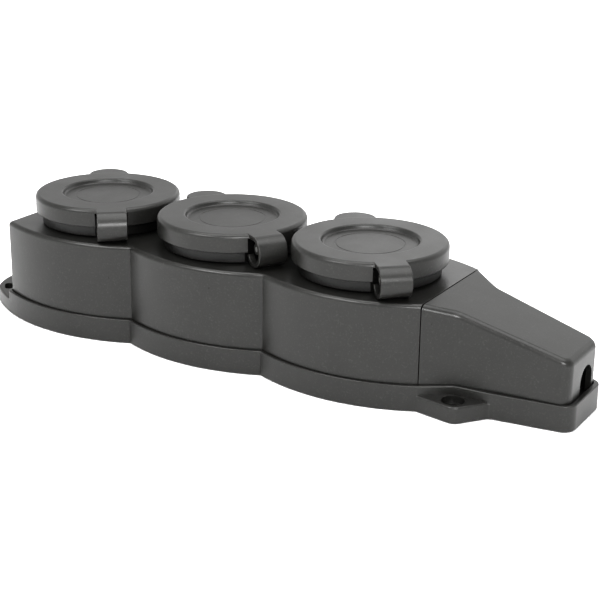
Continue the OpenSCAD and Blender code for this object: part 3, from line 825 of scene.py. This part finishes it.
def strap_rings(lead_x):
    """Rings of the hinge strap: a flat lead from lead_x, the curl, and its rounded end."""
    half_w, edge, end_r = STRAP_W / 2, 0.3, 0.5
    section = outline([(-half_w, -LID_T, edge), (half_w, -LID_T, edge),
                       (half_w, 0, edge), (-half_w, 0, edge)], steps=3)
    stations = [(a, 1) for a in radians_between(*CURL_ENDS, 48)]
    for i in (1, 2, 3):
        shrink = math.radians(25 * i)
        a = math.radians(CURL_ENDS[1]) - end_r * math.sin(shrink) / CURL_R
        stations.append((a, math.cos(shrink) * 0.55 + 0.45))
    path = [(Vector((lead_x, CURL_Z + CURL_R)), Vector((0, 1)), 1)]
    for a, scale in stations:
        out = Vector((math.cos(a), math.sin(a)))
        path.append((Vector((CURL_X, CURL_Z)) + out * CURL_R, out, scale))
    rings = []
    for point, out, scale in path:
        ring = []
        for y, d in section:
            depth = -LID_T / 2 + (d + LID_T / 2) * scale
            ring.append((point.x + out.x * depth, y, point.y + out.y * depth - 0.01))
        rings.append(ring)
    return rings


def make_strap(place):
    """The curled strap that ties a lid to its hinge, open between the two eyes."""
    strap = loft("strap", strap_rings(DISH_R + 3), place)
    gap = [(CURL_X + r * math.cos(a), CURL_Z + r * math.sin(a))
           for r, span in zip(GAP_R, (GAP_ENDS, GAP_ENDS[::-1])) for a in radians_between(*span, 8)]
    slot = loft("slot", [[(x, y, z) for x, z in gap] for y in (-EYE_Y[0], EYE_Y[0])], place)
    combine(strap, "DIFFERENCE", slot)
    return strap


def make_tab(place):
    """The round finger tab opposite the hinge."""
    top = LID_TOP - TAB_DROP
    profile = outline([(0, top - TAB_T, 0), (TAB_R, top - TAB_T, 0.5), (TAB_R, top, 0.7), (0, top, 0)],
                      closed=False, steps=4)
    tab_place = place @ Matrix.Rotation(TAB_TURN, 4, "Z") @ at(TAB_R - TAB_REACH, 0)
    tab = lathe("tab", profile, tab_place, 96)
    combine(tab, "DIFFERENCE", cylinder("inner", LID_R - 1, top - TAB_T - 1, top + 1, place, 96))
    return tab


def make_lid(k, socket):
    """A dished cap with a skirt, its hinge strap and its finger tab."""
    place = at_socket(socket)
    top, foot, plate = LID_TOP, LID_TOP - SKIRT_H, LID_TOP - LID_T
    floor = LID_TOP - DISH_T
    line = floor - RING_DEPTH
    profile = outline([
        (0, floor, 0), (RING_R - 0.25, floor, 0), (RING_R - 0.15, line, 0.05), (RING_R + 0.15, line, 0.05),
        (RING_R + 0.25, floor, 0), (DISH_R - 0.5, floor, 1.0), (DISH_R + 0.2, top, 1.0), (LID_R, top, 1.7),
        (LID_R, foot, 0.4), (LID_R - LID_T, foot, 0.4), (LID_R - LID_T, plate, 0.6),
        (DISH_R + LID_T, plate, 0.3), (DISH_R + LID_T, floor - LID_T, 0.5), (0, floor - LID_T, 0)],
        closed=False, steps=6)
    lid = lathe(f"lid_{k}_cap", profile, place, 160)
    combine(lid, "DIFFERENCE",
            block("notch", (DISH_R + 2, -LID_NOTCH_HALF_W, foot - 1),
                  (LID_R + 1, LID_NOTCH_HALF_W, plate - 0.02), place))
    x, z = socket.reach, socket.height
    pin = place @ along_y(x, z)
    strap = make_strap(place)
    eyes = []
    for y0, y1 in both_spans(*EYE_Y):
        eyes.append(cylinder("eye", EYE_R, -y1, -y0, pin, 32))
        eyes.append(block("web", (x, y0, z - WEB_HALF_H), (x + WEB_L, y1, z + WEB_HALF_H), place))
    combine(lid, "UNION", strap, *eyes, make_tab(place))
    combine(lid, "DIFFERENCE", cylinder("bore", LID_BORE_R, -STRAP_W / 2, STRAP_W / 2, pin, 24))
    smooth(lid)
    return dress(lid, "lid_plastic", f"lid_{k}_body", f"lid_{k}")


def make_lid_seal(k, socket):
    """The rubber ring under a lid, over the well's lip."""
    inner, outer = SEAL_R
    profile = outline([
        (inner, SEAL_LO.z + 0.5, 0.3), (inner + 0.9, SEAL_LO.z, 0.3), (outer - 0.9, SEAL_LO.z, 0.3),
        (outer, SEAL_LO.z + 0.5, 0.3), (outer, SEAL_HI.z, 0), (inner, SEAL_HI.z, 0)], steps=3)
    seal = lathe(f"lid_{k}_seal", profile, at_socket(socket), 96)
    smooth(seal)
    return dress(seal, "seal_rubber", f"lid_{k}_body", f"lid_seal_{k}")


def flared_hole(name, r, flare, bottom, floor, place):
    """A tool for a round hole down to bottom that widens by flare at the well's floor."""
    rim_z = floor + 0.1
    return lathe(name, [(0, bottom), (r, bottom), (r, rim_z - flare), (r + flare, rim_z),
                        (r + flare, floor + 1), (0, floor + 1)], place, 48)


def make_insert(k, socket):
    """The plug well: its wall, floor, pin holes, earth slots and screw recess."""
    place = at_socket(socket)
    top = COLLAR_TOP
    floor = top - WELL_DEPTH
    under = floor - WELL_FLOOR_T
    profile = outline([
        (0, floor, 0), (WELL_R, floor, 0.8), (WELL_R, top, 0.5),
        (LIP_R, top, 0.3), (LIP_R, top - LIP_T, 0.2),
        (WELL_OUT_R, top - LIP_T, 0.2), (WELL_OUT_R, under, 0.5), (0, under, 0)], closed=False, steps=4)
    insert = lathe(f"socket_{k}_well", profile, place, 128)
    cuts = [flared_hole("recess", RECESS_R, 0.3, floor - RECESS_DEPTH, floor, place),
            cylinder("hole", RECESS_HOLE_R, under - 1, floor, place, 24)]
    for side, (near, far) in zip((-1, 1), both_spans(*CLIP_SLOT_X)):
        pin = place @ at(0, side * PIN_Y)
        cuts.append(flared_hole("pin_hole", PIN_HOLE_R, 0.8, under - 1, floor, pin))
        cuts.append(block("clip_slot", (near, -CLIP_SLOT_HALF_W, under - 1),
                          (far, CLIP_SLOT_HALF_W, floor + 1.2), place))
    combine(insert, "DIFFERENCE", *cuts)
    smooth(insert)
    return dress(insert, "insert_plastic", "box", f"socket_insert_{k}")


def make_spring(k, socket):
    """The closing spring: a wire helix round the hinge pin, with two straight legs."""
    per_turn, sides = 24, 10
    count = TURNS * per_turn
    outwards = (-1, 0, 0)
    centres = [((-SPRING_R, -SPRING_HALF_L, -LEG), outwards)]
    for i in range(count + 1):
        a = math.pi + 2 * math.pi * i / per_turn
        out = (math.cos(a), 0, math.sin(a))
        centres.append(((SPRING_R * out[0], SPRING_HALF_L * (2 * i / count - 1), SPRING_R * out[2]), out))
    centres.append(((-SPRING_R, SPRING_HALF_L, LEG), outwards))
    rings = []
    for centre, out in centres:
        ring = []
        for j in range(sides):
            b = 2 * math.pi * j / sides
            side = Vector(out) * (WIRE_R * math.cos(b)) + Vector((0, WIRE_R * math.sin(b), 0))
            ring.append(tuple(Vector(centre) + side))
        rings.append(ring)
    spring = loft(f"hinge_{k}_spring", rings, at_socket(socket) @ at(socket.reach, 0, socket.height))
    smooth(spring, 60)
    return dress(spring, "spring_steel", "box", f"hinge_spring_{k}")


make_base()
make_housing()
make_cover()
for number, found in zip(NUMBERS, SOCKETS):
    make_collar(number, found)
    make_lid(number, found)
    make_lid_seal(number, found)
    make_insert(number, found)
    make_spring(number, found)

# ---- CAD nodes that stay ----

SLOT_OF = {part["node"]: part["material_slot"] for part in frame["record"]["subparts"]}
for node, obj in frame["nodes"].items():
    if obj.hide_render:
        continue
    obj.data.materials.clear()
    obj.data.materials.append(MATERIALS[SLOT_OF[node]])
    weld = obj.modifiers.new("weld", "WELD")
    weld.merge_threshold = 1e-6
    ease = obj.modifiers.new("edges", "BEVEL")
    ease.width = 0.12 * MM
    ease.segments = 2
    ease.limit_method = "ANGLE"
    ease.angle_limit = math.radians(50)
    even = obj.modifiers.new("weighted", "WEIGHTED_NORMAL")
    even.keep_sharp = True

# ---- floor, light and camera ----


def make_floor():
    """A wide sheet of white paper just under the box."""
    half, steps, drop = 4000, 8, 0.02
    line = [-half + 2 * half * i / steps for i in range(steps + 1)]
    points = [(x, y, 0) for y in line for x in line]
    faces = []
    for row in range(steps):
        for column in range(steps):
            a = row * (steps + 1) + column
            faces.append((a, a + 1, a + steps + 2, a + steps + 1))
    floor = solid("floor", points, faces, at(0, 0, -drop))
    shader = Shader("floor_paper")
    shade = shader.noise(3, 3)
    body = shader.mix(shade, (0.90, 0.90, 0.90), (0.93, 0.93, 0.93))
    shader.surface.inputs["Specular IOR Level"].default_value = 0.1
    floor.data.materials.append(shader.finish(body, shader.spread(shade, 0, 1, 0.85, 0.95)))


def make_lights():
    """A sky that fades upwards, and four soft lamps aimed at the origin."""
    world = bpy.data.worlds.new("studio")
    SCENE.world = world
    world.use_nodes = True
    nodes, links = world.node_tree.nodes, world.node_tree.links
    sky = nodes["Background"]
    sky.inputs["Color"].default_value = (1.0, 1.0, 1.0, 1.0)
    parts = nodes.new("ShaderNodeSeparateXYZ")
    links.new(nodes.new("ShaderNodeTexCoord").outputs["Generated"], parts.inputs["Vector"])
    fade = nodes.new("ShaderNodeMapRange")
    for name, value in (("From Min", 0.15), ("From Max", 0.6), ("To Min", 0.95), ("To Max", 0.42)):
        fade.inputs[name].default_value = value
    links.new(parts.outputs["Z"], fade.inputs["Value"])
    links.new(fade.outputs["Result"], sky.inputs["Strength"])
    for name, place, size, power in (
        ("overhead", (0.0, 0.25, 2.5), (3.0, 2.4), 56.0),
        ("back", (0.1, 1.6, 0.9), (2.2, 1.0), 4.5),
        ("front_right", (0.85, -0.95, 0.75), (0.7, 0.3), 12.0),
        ("front_left", (-0.36, -0.85, 0.92), (0.6, 0.4), 7.0),
    ):
        data = bpy.data.lights.new(name, "AREA")
        data.shape = "RECTANGLE"
        data.size, data.size_y = size
        data.energy = power
        lamp = bpy.data.objects.new(name, data)
        lamp.location = place
        lamp.rotation_euler = (-Vector(place)).to_track_quat("-Z", "Y").to_euler()
        SCENE.collection.objects.link(lamp)


CAMERA_PLACE = (0.2798, -0.4456, 0.2075)    # metres
CAMERA_TURN, CAMERA_TILT, CAMERA_ROLL = (math.radians(a) for a in (30.854, 19.683, 0.695))
CAMERA_LENS = 86.69


def make_camera():
    """A camera above the front right, tilted down at the box."""
    data = bpy.data.cameras.new("camera")
    data.lens = CAMERA_LENS
    data.sensor_width = 36.0
    data.clip_start = 0.01
    camera = bpy.data.objects.new("camera", data)
    aim = (Matrix.Rotation(CAMERA_TURN, 4, "Z") @ Matrix.Rotation(math.pi / 2 - CAMERA_TILT, 4, "X")
           @ Matrix.Rotation(CAMERA_ROLL, 4, "Z"))
    camera.matrix_world = at(*CAMERA_PLACE) @ aim
    SCENE.collection.objects.link(camera)
    SCENE.camera = camera


make_floor()
make_lights()
make_camera()
SCENE.view_settings.view_transform = "Standard"
SCENE.view_settings.look = "High Contrast"
